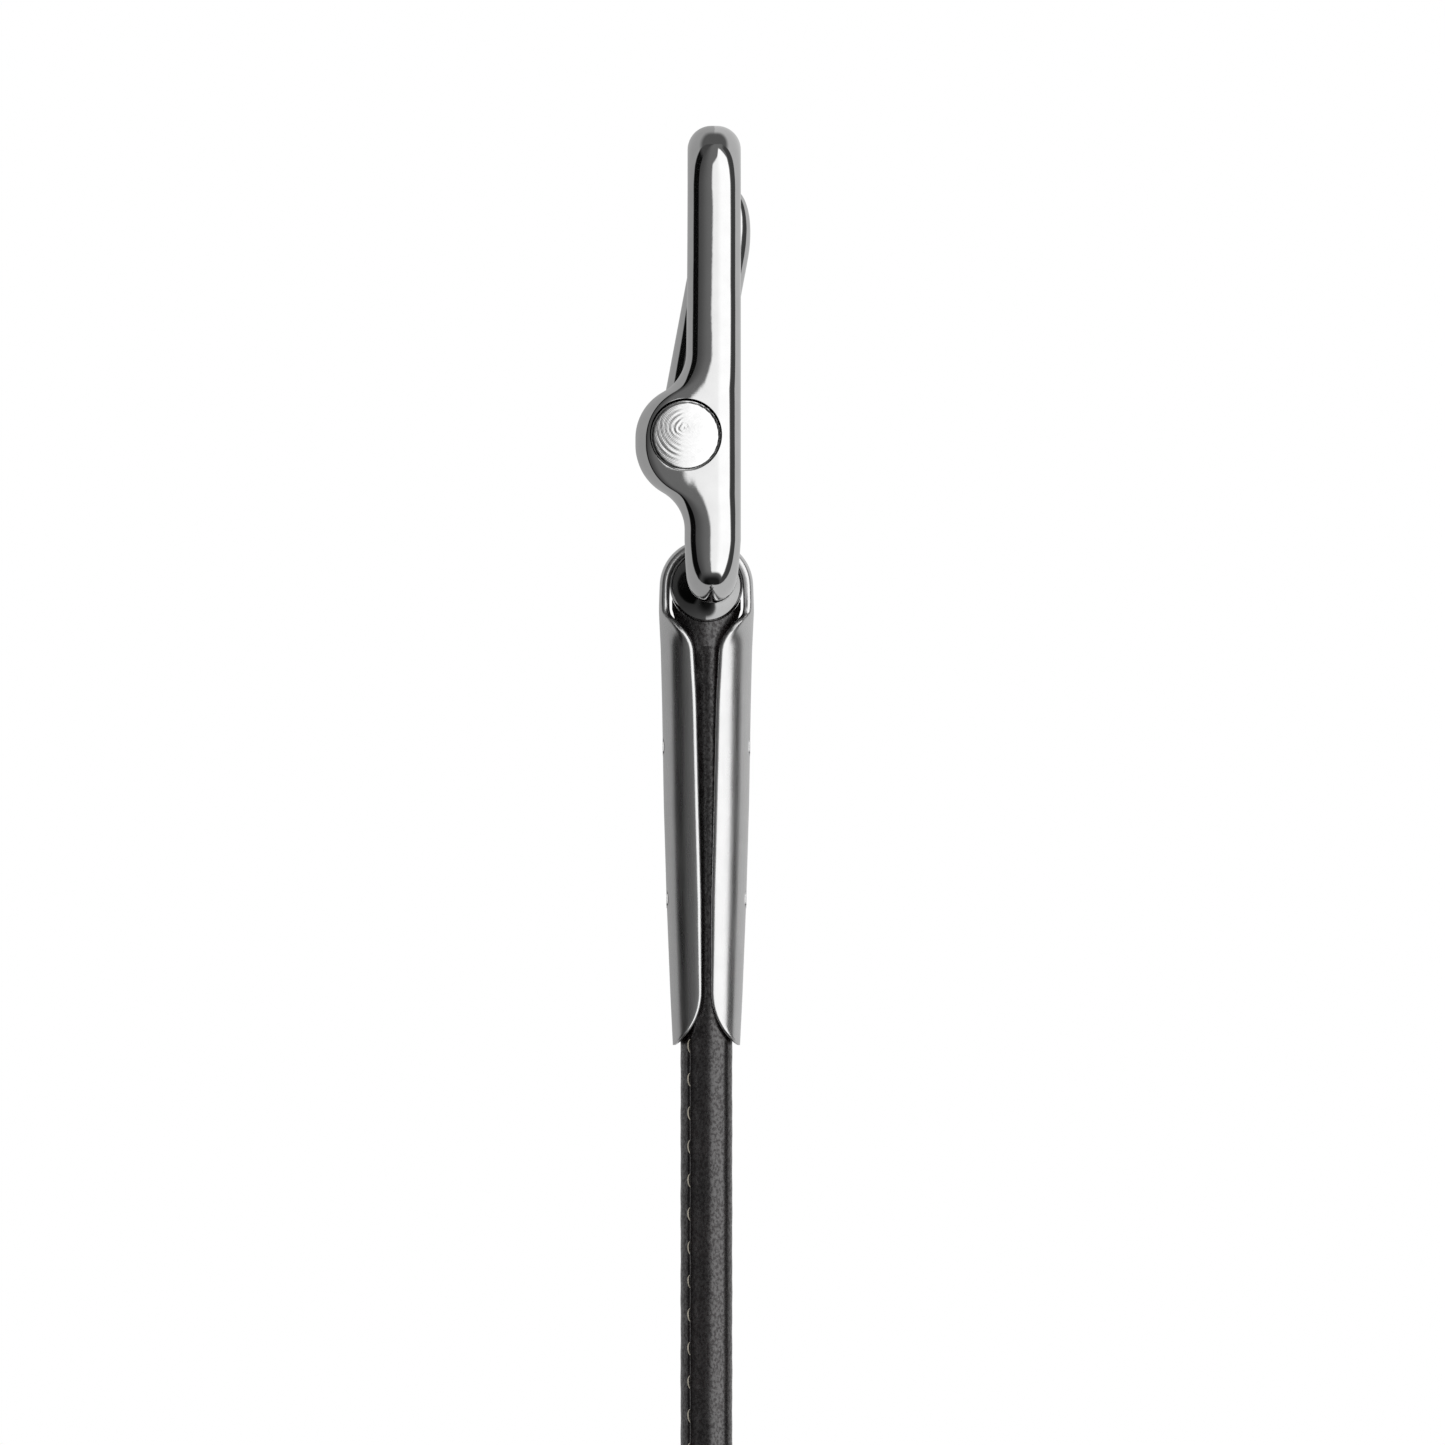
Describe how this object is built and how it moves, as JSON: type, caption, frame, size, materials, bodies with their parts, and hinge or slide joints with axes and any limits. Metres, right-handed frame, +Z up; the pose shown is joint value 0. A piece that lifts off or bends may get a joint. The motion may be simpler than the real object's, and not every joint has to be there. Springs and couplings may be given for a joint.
{
  "type": "riding crop",
  "caption": "Leather-covered riding crop with a polished steel stirrup-style buckle and clamp at the hand end, a wrapped grip and a flat leather keeper at the tip.",
  "frame": {"origin": "middle of the buckle's top bar, level with its plain underside, where the strap or forked hook that carries the crop bears", "axes": "+Z up with the crop hanging down from its buckle; +X is the buckle's front, towards which its tongue opens; Y runs along the cross pin"},
  "size_m": [0.0156, 0.0384, 0.6614],
  "materials": {
    "polished_steel": "mirror polished",
    "turned_steel": "turned and lightly polished",
    "dark_leather": "satin, fine grain, very dark brown",
    "grip_leather": "spiral wrapped, satin",
    "glass_fibre": "pultruded rod",
    "cork": "raw cork",
    "linen_thread": "waxed linen, beige grey",
    "waxed_thread": "waxed black whipping",
    "leather_board": "raw leather board"
  },
  "bodies": {
    "buckle": {"buckle_frame": "polished_steel", "cross_pin": "turned_steel"},
    "tongue": {"tongue": "polished_steel"},
    "crop": {"clamp": "polished_steel", "upper_rivet": "turned_steel", "lower_rivet": "turned_steel", "core_rod": "glass_fibre", "upper_cover": "dark_leather", "lower_cover": "dark_leather", "upper_seam_thread": "linen_thread", "lower_seam_thread": "linen_thread", "grip_cork": "cork", "grip_wrap": "grip_leather", "upper_collar": "polished_steel", "lower_collar": "polished_steel", "keeper_neck_front": "dark_leather", "keeper_neck_back": "dark_leather", "keeper_whipping": "waxed_thread"},
    "keeper": {"keeper_front": "dark_leather", "keeper_back": "dark_leather", "keeper_board": "leather_board"}
  },
  "joints": [
    {"name": "tongue_hinge", "type": "hinge", "parent": "buckle", "child": "tongue", "pos_m": [-0.0035, 0, -0.0323], "axis": [0, 1, 0], "range_deg": [0, 100]},
    {"name": "crop_swing", "type": "hinge", "parent": "buckle", "child": "crop", "pos_m": [-0.00095, 0, -0.051], "axis": [0, 1, 0], "range_deg": [-75, 120]},
    {"name": "keeper_flex", "type": "hinge", "parent": "crop", "child": "keeper", "pos_m": [-0.00095, 0, -0.588], "axis": [0, 1, 0], "range_deg": [-40, 40], "stiffness_Nm_per_rad": 0.03}
  ]
}
